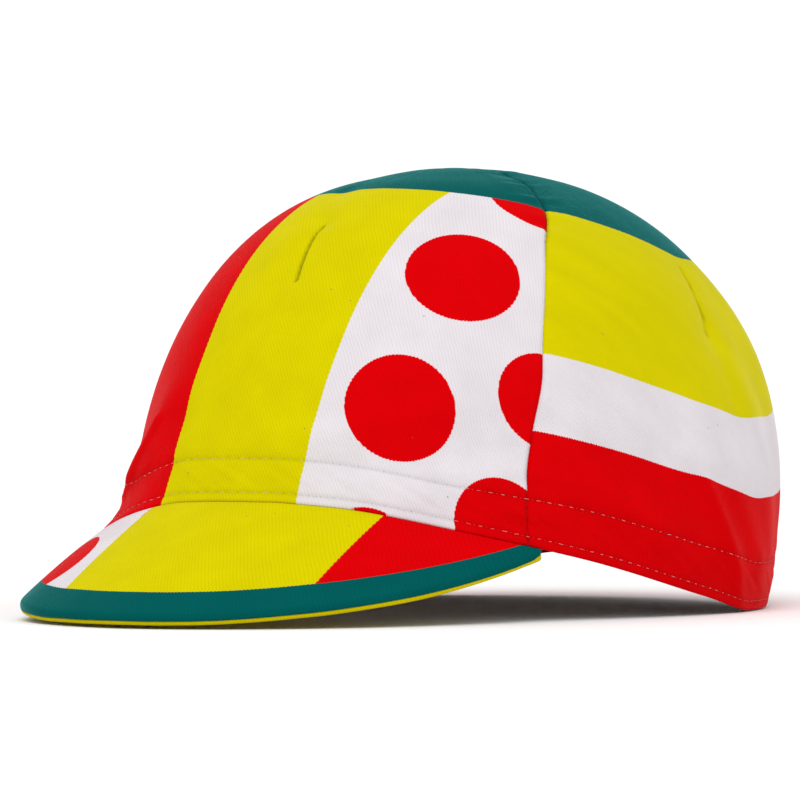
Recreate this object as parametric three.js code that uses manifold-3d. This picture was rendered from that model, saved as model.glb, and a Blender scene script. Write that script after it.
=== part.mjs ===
import * as THREE from 'three';
import { mergeVertices } from 'three/addons/utils/BufferGeometryUtils.js';
import Module from 'manifold-3d';

// A soft cotton cycling cap standing on a level surface, in millimetres.
// The peak points to -Y, the wearer's left is +X, and up is +Z.

// Crown, outside of the cloth; its top lies a little ahead of its middle
const CROWN_HEIGHT = 115;
const CROWN_WIDTH = 173.5;
const CROWN_FRONT = 102;
const CROWN_BACK = 105;
const TOP_FORWARD = 1.2;
const CLOTH = 1.2;

// How far the hem lies inside the widest part of the crown
const HEM_IN_FRONT = 2.6;
const HEM_IN_SIDE = 9.8;
const HEM_IN_BACK = 19.4;

// Height of the hem above the floor at the front; the cap stands on its peak and on the two
// lowest stretches of its hem, behind the ears
const HEM_RISE = 31;

// Band at the foot of the crown, pushed out by the peak sewn into it: by these lengths at the
// left and right, in full up to one angle from the front and no more past another
const BAND_HEIGHT = 13;
const FLARE_LEFT = 1.6;
const FLARE_RIGHT = 7.5;
const FLARE_FULL = 45;
const FLARE_END = 80;

// Share of the half width over which the push changes from the right one to the left one
const FLARE_TURN = 0.6;

// Cross seam, from hem to hem over the top
const SEAM_FORWARD = 60;
const SEAM_GAP = 0.3;

// Sweatband inside the opening; its foot steps up past the peak's corners within this many degrees
const SWEATBAND_CLOTH = 1.2;
const SWEATBAND_LIFT = 1.5;
const SWEATBAND_TURN = 12;

// Peak: length at the middle, half of the angle that it spans, its cloths, and the share of the
// way across past which they thin towards the corners
const PEAK_LENGTH = 52.8;
const PEAK_SPAN = 54;
const PEAK_SPREAD = 10.5;
const PEAK_BOW = 0.8;
const PEAK_CORNER = 1.5;
const PEAK_ROOT = 6;
const PEAK_TOP_CLOTH = 1.7;
const PEAK_UNDER_CLOTH = 1.5;
const PEAK_CORNER_THINNING = 0.65;
const PEAK_CORNER_START = 0.7;

// Roundness of the peak's outline: exponents of the curve from corner to corner
const PEAK_OUTLINE = { across: 1.78, along: 0.83 };

// Space left between pieces that are sewn together
const SEWN_GAP = 0.3;

// Soft folds: greatest depth and reach
const FOLD_DEPTH = 3;
const FOLD_REACH = 20;

// Way over the cloth from hem to top, as a share of the crown's height
const CLOTH_WAY = 1.4;

// Number of steps around the crown, up its band and on to the top, across and along the peak,
// and along the cross seam
const AROUND_STEPS = 72;
const BAND_STEPS = 4;
const UP_STEPS = 16;
const PEAK_ACROSS_STEPS = 36;
const PEAK_ALONG_STEPS = 6;
const SEAM_STEPS = 28;

// Roundness of the crown at the front, side and back: shoulder and top are exponents of
// the curve from hem to top, and lean is the share by which the wall leans in on its way up
const CROWN_FORM = {
  front: { shoulder: 1.68, top: 2.68, lean: 0.096, hemIn: HEM_IN_FRONT / CROWN_FRONT },
  side: { shoulder: 1.8, top: 2.7, lean: 0.011, hemIn: (2 * HEM_IN_SIDE) / CROWN_WIDTH },
  back: { shoulder: 2.25, top: 1.73, lean: -0.078, hemIn: HEM_IN_BACK / CROWN_BACK },
};

// Hem height as a share of HEM_RISE, by degrees around from the front
const HEM_LINE = [
  { around: 0, rise: 1 },
  { around: 35, rise: 0.77 },
  { around: 62, rise: 0.49 },
  { around: 90, rise: 0.15 },
  { around: 107, rise: 0 },
  { around: 118, rise: 0 },
  { around: 140, rise: 0.17 },
  { around: 158, rise: 0.37 },
  { around: 180, rise: 0.37 },
];

// Cross seam in side view: height as a share of CROWN_HEIGHT, place as a share of SEAM_FORWARD
const SEAM_LINE = [
  { up: -0.2, forward: 1 },
  { up: 0.28, forward: 1 },
  { up: 0.41, forward: 0.95 },
  { up: 0.52, forward: 0.875 },
  { up: 0.62, forward: 0.795 },
  { up: 0.75, forward: 0.65 },
  { up: 0.83, forward: 0.52 },
  { up: 0.9, forward: 0.355 },
  { up: 0.94, forward: 0.255 },
  { up: 0.98, forward: 0.1 },
  { up: 1.0, forward: 0 },
  { up: 1.2, forward: -0.8 },
];

// Folds and dents: each runs from one place to another on the crown (degrees around from the
// front, share of the way up); width is a share of FOLD_REACH and depth of FOLD_DEPTH
const FOLDS = [
  { name: 'front dart', around: -4.5, up: 0.66, toAround: 0.4, toUp: 0.5, width: 0.4, depth: -0.5 },
  { name: 'dimple under the dart', around: 1, up: 0.4, toAround: 4, toUp: 0.36, width: 0.8, depth: -0.3 },
  { name: 'front right crease', around: -24, up: 0.25, toAround: -34, toUp: 0.12, width: 0.5, depth: 0.5 },
  { name: 'left drape', around: 22, up: 0.13, toAround: 47, toUp: 0.22, width: 0.6, depth: -0.5 },
  { name: 'left side bend', around: 84, up: 0.4, toAround: 104, toUp: 0.42, width: 1, depth: -0.8 },
  { name: 'left corner fold', around: 91, up: 0.21, toAround: 104, toUp: 0.06, width: 0.5, depth: 0.6 },
  { name: 'left back dart', around: 110, up: 0.58, toAround: 106, toUp: 0.45, width: 0.4, depth: -0.4 },
  { name: 'right back dart', around: -110, up: 0.58, toAround: -106, toUp: 0.45, width: 0.4, depth: -0.4 },
  { name: 'right side bend', around: -80, up: 0.36, toAround: -108, toUp: 0.4, width: 1.1, depth: -0.6 },
  { name: 'back drape', around: 160, up: 0.14, toAround: 196, toUp: 0.2, width: 0.8, depth: -0.6 },
];

const DEGREE = Math.PI / 180;

function clamp(value, low, high) {
  return Math.min(Math.max(value, low), high);
}

function smooth(share) {
  const s = clamp(share, 0, 1);
  return s * s * (3 - 2 * s);
}

function mix(a, b, share) {
  return a + (b - a) * share;
}

// A curve through the rows of a table that never overshoots them
function readTable(rows, key, value, at) {
  const last = rows.length - 1;
  const slope = (i) => (rows[i + 1][value] - rows[i][value]) / (rows[i + 1][key] - rows[i][key]);
  const tangent = (i) => {
    if (i === 0 || i === last) {
      return 0;
    }
    const before = slope(i - 1);
    const after = slope(i);
    return before * after <= 0 ? 0 : (2 * before * after) / (before + after);
  };
  let i = 0;
  while (i < last - 1 && at > rows[i + 1][key]) {
    i += 1;
  }
  const step = rows[i + 1][key] - rows[i][key];
  const s = clamp((at - rows[i][key]) / step, 0, 1);
  const rise = (1 - s) * (1 - s) * s * step * tangent(i);
  const fall = (1 - s) * s * s * step * tangent(i + 1);
  return mix(rows[i][value], rows[i + 1][value], smooth(s)) + rise - fall;
}

// One form value at an angle around, blended from its front, side and back values
function formAt(around, key) {
  const front = Math.max(Math.cos(around), 0) ** 2;
  const back = Math.max(-Math.cos(around), 0) ** 2;
  const { front: f, side: s, back: b } = CROWN_FORM;
  return f[key] * front + b[key] * back + s[key] * (1 - front - back);
}

// Degrees from the front, from 0 to 180 on either side
function degreesFromFront(around) {
  return Math.abs(Math.atan2(Math.sin(around), Math.cos(around))) / DEGREE;
}

function hemHeight(around) {
  return HEM_RISE * readTable(HEM_LINE, 'around', 'rise', degreesFromFront(around));
}

// How far the band is pushed out, by angle around and height above the hem
function flareAt(around, aboveHem) {
  const onFront = smooth((FLARE_END - degreesFromFront(around)) / (FLARE_END - FLARE_FULL));
  const turn = smooth((Math.sin(around) + FLARE_TURN) / FLARE_TURN);
  const reach = mix(FLARE_RIGHT, FLARE_LEFT, turn);
  const foot = clamp(1 - aboveHem / BAND_HEIGHT, 0, 1);
  return reach * onFront * foot * foot;
}

// Sum of the folds at a place on the crown, as a distance out of the cloth
function foldsAt(around, up, radius) {
  const meridian = CROWN_HEIGHT * CLOTH_WAY;
  let sum = 0;
  for (const fold of FOLDS) {
    const apart = around - fold.around * DEGREE;
    const x = Math.atan2(Math.sin(apart), Math.cos(apart)) * radius;
    const y = (up - fold.up) * meridian;
    const runX = (fold.toAround - fold.around) * DEGREE * radius;
    const runY = (fold.toUp - fold.up) * meridian;
    const along = clamp((x * runX + y * runY) / (runX * runX + runY * runY), 0, 1);
    const away = Math.hypot(x - runX * along, y - runY * along);
    sum += fold.depth * FOLD_DEPTH * Math.exp(-((away / (fold.width * FOLD_REACH)) ** 2));
  }
  return sum;
}

// A point on the outside of the crown: angle around from the front, share of the way up
function crownPoint(around, up) {
  const quarter = (Math.PI / 2) * up;
  const climb = Math.sin(quarter) ** (2 / formAt(around, 'shoulder'));
  const narrow = Math.max(Math.cos(quarter), 0) ** (2 / formAt(around, 'top'));
  const lean = 1 - formAt(around, 'lean') * climb;
  const tuck = 1 - formAt(around, 'hemIn') * (1 - climb) ** 2;
  const spread = narrow * lean * tuck;
  const length = Math.cos(around) > 0 ? CROWN_FRONT : CROWN_BACK;
  const hem = hemHeight(around);
  const z = mix(hem, CROWN_HEIGHT, climb);
  const fade = smooth((z - hem) / BAND_HEIGHT);
  const out = flareAt(around, z - hem) + fade * narrow * foldsAt(around, up, (spread * CROWN_WIDTH) / 2);
  const x = Math.sin(around) * ((CROWN_WIDTH / 2) * spread + out);
  const forward = TOP_FORWARD * (1 - Math.cos(quarter));
  const y = -Math.cos(around) * (length * spread + out) - forward;
  return new THREE.Vector3(x, y, z);
}

// Share of the way up at a height above the hem
function upAtHeight(around, aboveHem) {
  const climb = aboveHem / (CROWN_HEIGHT - hemHeight(around));
  return Math.asin(clamp(climb, 0, 1) ** (formAt(around, 'shoulder') / 2)) / (Math.PI / 2);
}

// Share of the way up for a row of the crown: the first rows divide the band
function rowUp(around, row) {
  if (row <= BAND_STEPS) {
    return upAtHeight(around, (BAND_HEIGHT * row) / BAND_STEPS);
  }
  return mix(upAtHeight(around, BAND_HEIGHT), 1, (row - BAND_STEPS) / UP_STEPS);
}

// Level direction out of the hem
function hemOutward(around) {
  const step = 0.01;
  const ahead = crownPoint(around + step, 0);
  const run = ahead.sub(crownPoint(around - step, 0));
  return new THREE.Vector3(run.y, -run.x, 0).normalize();
}

// Direction out of the cloth at a place on the crown
function crownOutward(around, up) {
  if (up <= 0) {
    return hemOutward(around);
  }
  if (up >= 1) {
    return new THREE.Vector3(0, 0, 1);
  }
  const step = 0.01;
  const across = crownPoint(around + step, up).sub(crownPoint(around - step, up));
  const higher = crownPoint(around, Math.min(up + step, 1));
  const rising = higher.sub(crownPoint(around, Math.max(up - step, 0)));
  return across.cross(rising).normalize();
}

// A place inside the crown, at a depth from the outside of the cloth
function insideCrown(around, up, depth) {
  return crownPoint(around, up).addScaledVector(crownOutward(around, up), -depth);
}

// Closed mesh from rows of points: each row is a ring, and the last row joins the first
function meshFromRings(rings) {
  const count = rings[0].length;
  const positions = rings.flat().flatMap((point) => point.toArray());
  const index = [];
  rings.forEach((_, i) => {
    const below = i * count;
    const above = ((i + 1) % rings.length) * count;
    for (let j = 0; j < count; j += 1) {
      const next = (j + 1) % count;
      index.push(below + j, below + next, above + next);
      index.push(below + j, above + next, above + j);
    }
  });
  const geometry = new THREE.BufferGeometry();
  geometry.setAttribute('position', new THREE.Float32BufferAttribute(positions, 3));
  geometry.setIndex(index);
  return geometry;
}

// Whole crown wall, outside from the hem to the top and back down on the inside
function crownShell() {
  const positions = [];
  const index = [];
  const ring = (row, depth) => {
    const start = positions.length / 3;
    for (let j = 0; j < AROUND_STEPS; j += 1) {
      const around = (j / AROUND_STEPS) * 2 * Math.PI;
      positions.push(...insideCrown(around, rowUp(around, row), depth).toArray());
    }
    return start;
  };
  const pole = (depth) => {
    positions.push(...insideCrown(0, 1, depth).toArray());
    return positions.length / 3 - 1;
  };
  const join = (low, high, flip) => {
    for (let j = 0; j < AROUND_STEPS; j += 1) {
      const next = (j + 1) % AROUND_STEPS;
      const quad = [low + j, low + next, high + next, high + j];
      const [a, b, c, d] = flip ? quad.reverse() : quad;
      index.push(a, b, c, a, c, d);
    }
  };
  const cap = (high, tip, flip) => {
    for (let j = 0; j < AROUND_STEPS; j += 1) {
      const next = (j + 1) % AROUND_STEPS;
      index.push(...(flip ? [high + next, high + j, tip] : [high + j, high + next, tip]));
    }
  };
  const rows = Array.from({ length: BAND_STEPS + UP_STEPS }, (_, row) => row);
  const outside = rows.map((row) => ring(row, 0));
  const inside = rows.map((row) => ring(row, CLOTH));
  for (let i = 0; i < rows.length - 1; i += 1) {
    join(outside[i], outside[i + 1], false);
    join(inside[i], inside[i + 1], true);
  }
  cap(outside[rows.length - 1], pole(0), false);
  cap(inside[rows.length - 1], pole(CLOTH), true);
  join(outside[0], inside[0], true);
  const geometry = new THREE.BufferGeometry();
  geometry.setAttribute('position', new THREE.Float32BufferAttribute(positions, 3));
  geometry.setIndex(index);
  return geometry;
}

// Place of the cross seam in side view, at a share of the height
function seamPoint(up) {
  const y = -SEAM_FORWARD * readTable(SEAM_LINE, 'up', 'forward', up);
  return new THREE.Vector2(y, up * CROWN_HEIGHT);
}

// Block that holds all of the crown ahead of the cross seam (side -1) or behind it (side 1)
function seamBlock(side) {
  const reach = CROWN_FRONT + CROWN_BACK;
  const edge = [];
  for (let i = 0; i <= SEAM_STEPS; i += 1) {
    const up = mix(SEAM_LINE[0].up, SEAM_LINE[SEAM_LINE.length - 1].up, i / SEAM_STEPS);
    const run = seamPoint(up + 0.01).sub(seamPoint(up - 0.01)).normalize();
    const aside = new THREE.Vector2(run.y, -run.x).multiplyScalar((side * SEAM_GAP) / 2);
    edge.push(seamPoint(up).add(aside));
  }
  const top = new THREE.Vector2(side * reach, edge[SEAM_STEPS].y);
  const foot = new THREE.Vector2(side * reach, edge[0].y);
  const shape = new THREE.Shape([...edge, top, foot]);
  const block = new THREE.ExtrudeGeometry(shape, { depth: 2 * CROWN_WIDTH, bevelEnabled: false });
  block.translate(0, 0, -CROWN_WIDTH);
  const sideways = new THREE.Matrix4().makeBasis(
    new THREE.Vector3(0, 1, 0),
    new THREE.Vector3(0, 0, 1),
    new THREE.Vector3(1, 0, 0),
  );
  return block.applyMatrix4(sideways);
}

const wasm = await Module();
wasm.setup();

function toSolid(geometry) {
  const bare = geometry.clone();
  bare.deleteAttribute('normal');
  bare.deleteAttribute('uv');
  const merged = mergeVertices(bare, 1e-4);
  const vertProperties = new Float32Array(merged.attributes.position.array);
  const triVerts = new Uint32Array(merged.index.array);
  return new wasm.Manifold(new wasm.Mesh({ numProp: 3, vertProperties, triVerts }));
}

function toGeometry(solid) {
  const mesh = solid.getMesh();
  const geometry = new THREE.BufferGeometry();
  geometry.setAttribute('position', new THREE.BufferAttribute(mesh.vertProperties, 3));
  geometry.setIndex(new THREE.BufferAttribute(mesh.triVerts, 1));
  return geometry;
}

// Length of the peak at a share across it, from -1 at its right corner to 1 at its left
function peakLength(across) {
  const fullness = 1 - Math.abs(across) ** PEAK_OUTLINE.across;
  return mix(PEAK_CORNER, PEAK_LENGTH, Math.max(fullness, 0) ** PEAK_OUTLINE.along);
}

// Thickness of one peak cloth, a little thinner where the corners run into the hem
function peakCloth(thickness, across) {
  const towardsCorner = (Math.abs(across) - PEAK_CORNER_START) / (1 - PEAK_CORNER_START);
  return thickness * mix(1, PEAK_CORNER_THINNING, smooth(towardsCorner));
}

const PEAK_THICKNESS = PEAK_TOP_CLOTH + SEWN_GAP + PEAK_UNDER_CLOTH;

// Slope of the peak that lets its front edge rest on the floor
const PEAK_SLOPE =
  Math.asin((HEM_RISE - SEWN_GAP) / Math.hypot(PEAK_LENGTH, PEAK_THICKNESS)) -
  Math.atan2(PEAK_THICKNESS, PEAK_LENGTH);

// A point in the peak: share across, distance out from the hem, depth below its upper face
function peakPoint(across, out, depth) {
  const around = across * PEAK_SPAN * DEGREE;
  const heading = across * PEAK_SPREAD * DEGREE;
  const length = peakLength(across);
  const level = new THREE.Vector3(Math.sin(heading), -Math.cos(heading), 0);
  const upright = new THREE.Vector3(0, 0, 1);
  const run = level.clone().multiplyScalar(Math.cos(PEAK_SLOPE));
  run.addScaledVector(upright, -Math.sin(PEAK_SLOPE));
  const face = level.clone().multiplyScalar(Math.sin(PEAK_SLOPE));
  face.addScaledVector(upright, Math.cos(PEAK_SLOPE));
  const share = clamp(out / length, 0, 1);
  const bow = (PEAK_BOW * 4 * share * (1 - share) * length) / PEAK_LENGTH;
  const thickness = upright.clone().lerp(face, smooth(out / PEAK_ROOT)).normalize();
  const point = crownPoint(around, 0).addScaledVector(upright, -SEWN_GAP);
  if (out < 0) {
    point.addScaledVector(hemOutward(around), out);
  } else {
    point.addScaledVector(run, out).addScaledVector(face, bow);
  }
  return point.addScaledVector(thickness, -depth);
}

// One cloth of the peak, between two depths below its upper face
function peakSheet(upperDepth, lowerDepth) {
  const rings = [];
  for (let i = 0; i <= PEAK_ACROSS_STEPS; i += 1) {
    const across = Math.sin((i / PEAK_ACROSS_STEPS - 0.5) * Math.PI);
    const length = peakLength(across);
    const outs = [-CLOTH];
    for (let j = 0; j <= PEAK_ALONG_STEPS; j += 1) {
      outs.push((j / PEAK_ALONG_STEPS) * length);
    }
    const upper = outs.map((out) => peakPoint(across, out, peakCloth(upperDepth, across)));
    const lower = outs.map((out) => peakPoint(across, out, peakCloth(lowerDepth, across)));
    rings.push([...upper, ...lower.reverse()]);
  }
  return closeStack(rings);
}

// Closed mesh from a stack of rings, with a strip of quads across each end
function closeStack(rings) {
  const count = rings[0].length;
  const geometry = meshFromRings(rings);
  const sides = Array.from(geometry.index.array).slice(0, -6 * count);
  const half = count / 2;
  const last = (rings.length - 1) * count;
  for (let j = 0; j < half - 1; j += 1) {
    const [a, b, c, d] = [j, j + 1, count - 2 - j, count - 1 - j];
    sides.push(a, d, c, a, c, b);
    sides.push(last + a, last + b, last + c, last + a, last + c, last + d);
  }
  geometry.setIndex(sides);
  return geometry;
}

// How far the sweatband reaches below the hem: down behind the peak, and above the hem elsewhere
function sweatbandFoot(around) {
  const past = 1 + (degreesFromFront(around) - PEAK_SPAN) / SWEATBAND_TURN;
  const across = clamp(degreesFromFront(around) / PEAK_SPAN, 0, 1);
  const behindPeak = -SEWN_GAP - peakCloth(PEAK_THICKNESS, across);
  return mix(behindPeak, SWEATBAND_LIFT, smooth(past));
}

// A point on the sweatband: height from the hem, depth from the outside of the crown
function sweatbandPoint(around, height, depth) {
  if (height > 0) {
    return insideCrown(around, upAtHeight(around, height), depth);
  }
  const point = insideCrown(around, 0, depth);
  point.z += height;
  return point;
}

function sweatbandMesh() {
  const outer = CLOTH + SEWN_GAP;
  const inner = outer + SWEATBAND_CLOTH;
  const rings = [];
  for (let i = 0; i < AROUND_STEPS; i += 1) {
    const around = (-i / AROUND_STEPS) * 2 * Math.PI;
    const foot = sweatbandFoot(around);
    const heights = [foot];
    for (let row = 1; row <= BAND_STEPS; row += 1) {
      heights.push((BAND_HEIGHT * row) / BAND_STEPS);
    }
    const outside = heights.map((height) => sweatbandPoint(around, height, outer));
    const inside = heights.map((height) => sweatbandPoint(around, height, inner));
    rings.push([...outside, ...inside.reverse()]);
  }
  return meshFromRings(rings);
}

function piece(name, geometry, color, roughness) {
  const material = new THREE.MeshStandardMaterial({ color, roughness, metalness: 0 });
  const mesh = new THREE.Mesh(geometry, material);
  mesh.name = name;
  return mesh;
}

const crown = toSolid(crownShell());
const pieces = [
  piece('crown_front', toGeometry(crown.intersect(toSolid(seamBlock(-1)))), 0xdcd400, 0.85),
  piece('crown_back', toGeometry(crown.intersect(toSolid(seamBlock(1)))), 0xe9e4ea, 0.85),
  piece('sweatband', sweatbandMesh(), 0xe9e4ea, 0.9),
  piece('peak_top', peakSheet(0, PEAK_TOP_CLOTH), 0x00605a, 0.85),
  piece('peak_under', peakSheet(PEAK_TOP_CLOTH + SEWN_GAP, PEAK_THICKNESS), 0xd2c100, 0.85),
];

// The cap stands with the middle of its footprint at the origin
const cap = new THREE.Group();
cap.add(...pieces);
const box = new THREE.Box3().setFromObject(cap);
cap.position.set(-(box.min.x + box.max.x) / 2, -(box.min.y + box.max.y) / 2, -box.min.z);

export default cap;
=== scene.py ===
# %% [markdown]
# A soft cotton cycling cap
#
# The cap is sewn from two crown halves, a peak of two cloths over a stiffener, and a cotton
# band inside the opening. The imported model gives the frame: where each piece lies and how big
# it is. This lesson builds the cloth around it with fine folds, seams, stitches and print.

# %% Frame and units
from functools import partial
from math import cos, pi, radians, sin

import bmesh
import bpy
import numpy as np
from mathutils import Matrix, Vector


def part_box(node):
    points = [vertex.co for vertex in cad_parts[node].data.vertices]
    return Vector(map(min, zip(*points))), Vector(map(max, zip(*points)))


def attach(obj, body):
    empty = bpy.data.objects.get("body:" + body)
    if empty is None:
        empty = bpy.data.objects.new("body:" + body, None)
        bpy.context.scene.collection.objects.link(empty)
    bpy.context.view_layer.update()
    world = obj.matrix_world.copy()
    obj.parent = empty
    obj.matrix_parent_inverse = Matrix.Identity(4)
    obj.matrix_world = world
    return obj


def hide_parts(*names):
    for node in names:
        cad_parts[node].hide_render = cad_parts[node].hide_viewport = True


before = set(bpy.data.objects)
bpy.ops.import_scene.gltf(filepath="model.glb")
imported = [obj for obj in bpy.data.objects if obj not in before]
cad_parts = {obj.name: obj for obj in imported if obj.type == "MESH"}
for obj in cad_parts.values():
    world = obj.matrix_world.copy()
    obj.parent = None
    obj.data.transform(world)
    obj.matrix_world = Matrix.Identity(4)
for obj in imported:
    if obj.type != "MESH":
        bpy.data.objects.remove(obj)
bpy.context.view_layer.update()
MM = 0.001
print("the frame's pieces:", sorted(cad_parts))

# %% [markdown]
# The crown is one smooth form that is cut along the cross seam, so both halves come from one
# formula: a quarter of a superellipse climbs from the hem to the top, and its roundness is
# blended between the front, the side and the back. A formula is chosen over a modelled mesh,
# because the hem, the seams, the band and the print can then all be placed by angle and height.

# %% Sizes of the crown, in millimetres
CROWN_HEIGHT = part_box("crown_front")[1].z / MM
CROWN_WIDTH = 173.5
CROWN_FRONT = 102
CROWN_BACK = 105
TOP_FORWARD = 1.2
CLOTH = 1.2
HEM_RISE = 31
BAND_HEIGHT = 13
SEAM_FORWARD = 60
SEAM_GAP = 0.02
FOLD_DEPTH = 3
FOLD_REACH = 20

# The way over the cloth from hem to top is this many times CROWN_HEIGHT
CLOTH_WAY = 1.4

# The hem flares out over the peak: in full up to FLARE_FULL degrees from the front, and not past
# FLARE_END. From the middle to a sine of -FLARE_TURN the flare of the left becomes that of the right.
FLARE_LEFT = 1.6
FLARE_RIGHT = 7.5
FLARE_FULL = 45
FLARE_END = 80
FLARE_TURN = 0.6

# At the front, side and back: roundness below and above, and as shares of the radius, how far
# the wall leans in and how far the hem is drawn in
SHOULDER = (1.68, 1.8, 2.25)
TOP = (2.68, 2.7, 1.73)
LEAN = (0.096, 0.011, -0.078)
HEM_IN = (2.6 / CROWN_FRONT, 2 * 9.8 / CROWN_WIDTH, 19.4 / CROWN_BACK)

# Degrees from the front, share of HEM_RISE
HEM_LINE = [(0, 0.962), (9, 0.96), (17, 0.935), (24, 0.898), (31, 0.833), (40, 0.735), (50, 0.625),
            (62, 0.49), (90, 0.15), (107, 0), (118, 0), (140, 0.17), (158, 0.37), (180, 0.37)]

# The hem hangs a little lower at the right front: by this share of HEM_RISE, around this many
# degrees from the front, and so many degrees to both sides
HEM_DROOP = 0.1
DROOP_AT = -30
DROOP_REACH = 15

# Share of CROWN_HEIGHT, share of SEAM_FORWARD
SEAM_LINE = [(-0.2, 0.985), (0.2, 0.98), (0.28, 0.97), (0.41, 0.905), (0.52, 0.83), (0.62, 0.757),
             (0.75, 0.618), (0.83, 0.5), (0.9, 0.343), (0.94, 0.25), (0.98, 0.1), (1, 0), (1.2, -0.8)]

# Degrees around and share of the way up at both ends of each line
DARTS = {
    "front": (-4.5, 0.66, 0.4, 0.5),
    "left back": (110, 0.58, 106, 0.45),
    "right back": (-110, 0.58, -106, 0.45),
}

# Broad folds: line, then width as a share of FOLD_REACH and depth as a share of FOLD_DEPTH
FOLDS = {
    "front dart": (*DARTS["front"], 0.4, -0.5),
    "dimple under the dart": (1, 0.4, 4, 0.36, 0.8, -0.3),
    "front right crease": (-24, 0.25, -34, 0.12, 0.5, 0.5),
    "left drape": (22, 0.13, 47, 0.22, 0.6, -0.5),
    "left side bend": (84, 0.4, 104, 0.42, 1, -0.8),
    "left corner fold": (91, 0.21, 104, 0.06, 0.5, 0.6),
    "left back dart": (*DARTS["left back"], 0.4, -0.4),
    "right back dart": (*DARTS["right back"], 0.4, -0.4),
    "right side bend": (-80, 0.36, -108, 0.4, 1.1, -0.6),
    "back drape": (160, 0.14, 196, 0.2, 0.8, -0.6),
}


# %% Helpers for smooth forms
def mix(a, b, share):
    return a + (b - a) * share


def smooth(share):
    """A curve from 0 to 1 that starts and ends level."""
    s = np.clip(share, 0, 1)
    return s * s * (3 - 2 * s)


def ramp(value, start, end):
    """0 up to the start and 1 from the end on, and smooth between them."""
    return smooth((value - start) / (end - start))


def bump(distance, width):
    """A soft hill: 1 in the middle, and gone at about twice its width."""
    return np.exp(-((distance / width) ** 2))


def read_table(rows, at):
    """A curve through the rows of a table that never overshoots them."""
    keys, values = np.array(rows, float).T
    slopes = np.diff(values) / np.diff(keys)
    before, after = slopes[:-1], slopes[1:]
    tangents = np.zeros(len(keys))
    tangents[1:-1] = np.where(before * after > 0, 2 * before * after / (before + after + 1e-12), 0)
    i = np.clip(np.searchsorted(keys, at, side="right") - 1, 0, len(slopes) - 1)
    step = keys[i + 1] - keys[i]
    s = np.clip((at - keys[i]) / step, 0, 1)
    rise = (1 - s) ** 2 * s * tangents[i]
    fall = (1 - s) * s ** 2 * tangents[i + 1]
    return mix(values[i], values[i + 1], smooth(s)) + step * (rise - fall)


# %% Angles and the hem
def form(around, values):
    """A value that is blended between the front, the side and the back."""
    front, side, back = values
    ahead = np.maximum(np.cos(around), 0) ** 2
    behind = np.maximum(-np.cos(around), 0) ** 2
    return front * ahead + back * behind + side * (1 - ahead - behind)


def degrees_to_left(around):
    return np.degrees(np.arctan2(np.sin(around), np.cos(around)))


def degrees_from_front(around):
    return np.abs(degrees_to_left(around))


def hem_height(around):
    droop = HEM_DROOP * bump(degrees_to_left(around) - DROOP_AT, DROOP_REACH)
    return HEM_RISE * (read_table(HEM_LINE, degrees_from_front(around)) - droop)


# %% The crown as a function of angle and height
def line_distance(around, up, radius, line):
    """Share along a line drawn on the crown, and the way aside from it in millimetres."""
    meridian = CROWN_HEIGHT * CLOTH_WAY
    apart = around - radians(line[0])
    x, y = np.arctan2(np.sin(apart), np.cos(apart)) * radius, (up - line[1]) * meridian
    run_x, run_y = radians(line[2] - line[0]) * radius, (line[3] - line[1]) * meridian
    share = (x * run_x + y * run_y) / (run_x ** 2 + run_y ** 2)
    held = np.clip(share, 0, 1)
    away = np.hypot(x - run_x * held, y - run_y * held)
    return share, away * np.sign(run_x * y - run_y * x)


def spread_at(around, up):
    """Share of the height, share of the width before lean and hem, and share of the width."""
    climb = np.sin(pi / 2 * up) ** (2 / form(around, SHOULDER))
    narrow = np.maximum(np.cos(pi / 2 * up), 0) ** (2 / form(around, TOP))
    lean = 1 - form(around, LEAN) * climb
    tuck = 1 - form(around, HEM_IN) * (1 - climb) ** 2
    return climb, narrow, narrow * lean * tuck


def crown_point(around, up):
    """Place on the cloth at an angle around and a share of the way up, with the broad folds."""
    around, up = np.broadcast_arrays(around, up)
    climb, narrow, spread = spread_at(around, up)
    hem = hem_height(around)
    z = mix(hem, CROWN_HEIGHT, climb)
    above = z - hem
    folds = 0
    for *line, width, depth in FOLDS.values():
        away = line_distance(around, up, spread * CROWN_WIDTH / 2, line)[1]
        folds = folds + depth * FOLD_DEPTH * bump(away, width * FOLD_REACH)
    reach = mix(FLARE_RIGHT, FLARE_LEFT, ramp(np.sin(around), -FLARE_TURN, 0))
    flare = reach * ramp(degrees_from_front(around), FLARE_END, FLARE_FULL)
    flare = flare * np.clip(1 - above / BAND_HEIGHT, 0, 1) ** 2
    out = flare + ramp(above, 0, BAND_HEIGHT) * narrow * folds
    length = np.where(np.cos(around) > 0, CROWN_FRONT, CROWN_BACK)
    x = np.sin(around) * (CROWN_WIDTH / 2 * spread + out)
    y = -np.cos(around) * (length * spread + out) - TOP_FORWARD * (1 - np.cos(pi / 2 * up))
    return np.stack([x, y, z], -1)


# %% The crown's direction out, and its place
ANGLE_STEP = 0.01
LEVEL_TOP = 0.97
UPRIGHT = np.array([0.0, 0.0, 1.0])


def unit(vectors):
    return vectors / np.maximum(np.linalg.norm(vectors, axis=-1, keepdims=True), 1e-9)


def crown_outward(around, up):
    """Direction out of the cloth, measured between neighbouring places. It is upright at the top,
    where all columns meet."""
    low, high = np.clip(up - ANGLE_STEP, 0, 1), np.clip(up + ANGLE_STEP, 0, 1)
    across = crown_point(around + ANGLE_STEP, up) - crown_point(around - ANGLE_STEP, up)
    rising = crown_point(around, high) - crown_point(around, low)
    normal = unit(np.cross(across, rising))
    return unit(mix(normal, UPRIGHT, ramp(up, LEVEL_TOP, 1)[..., None]))


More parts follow.
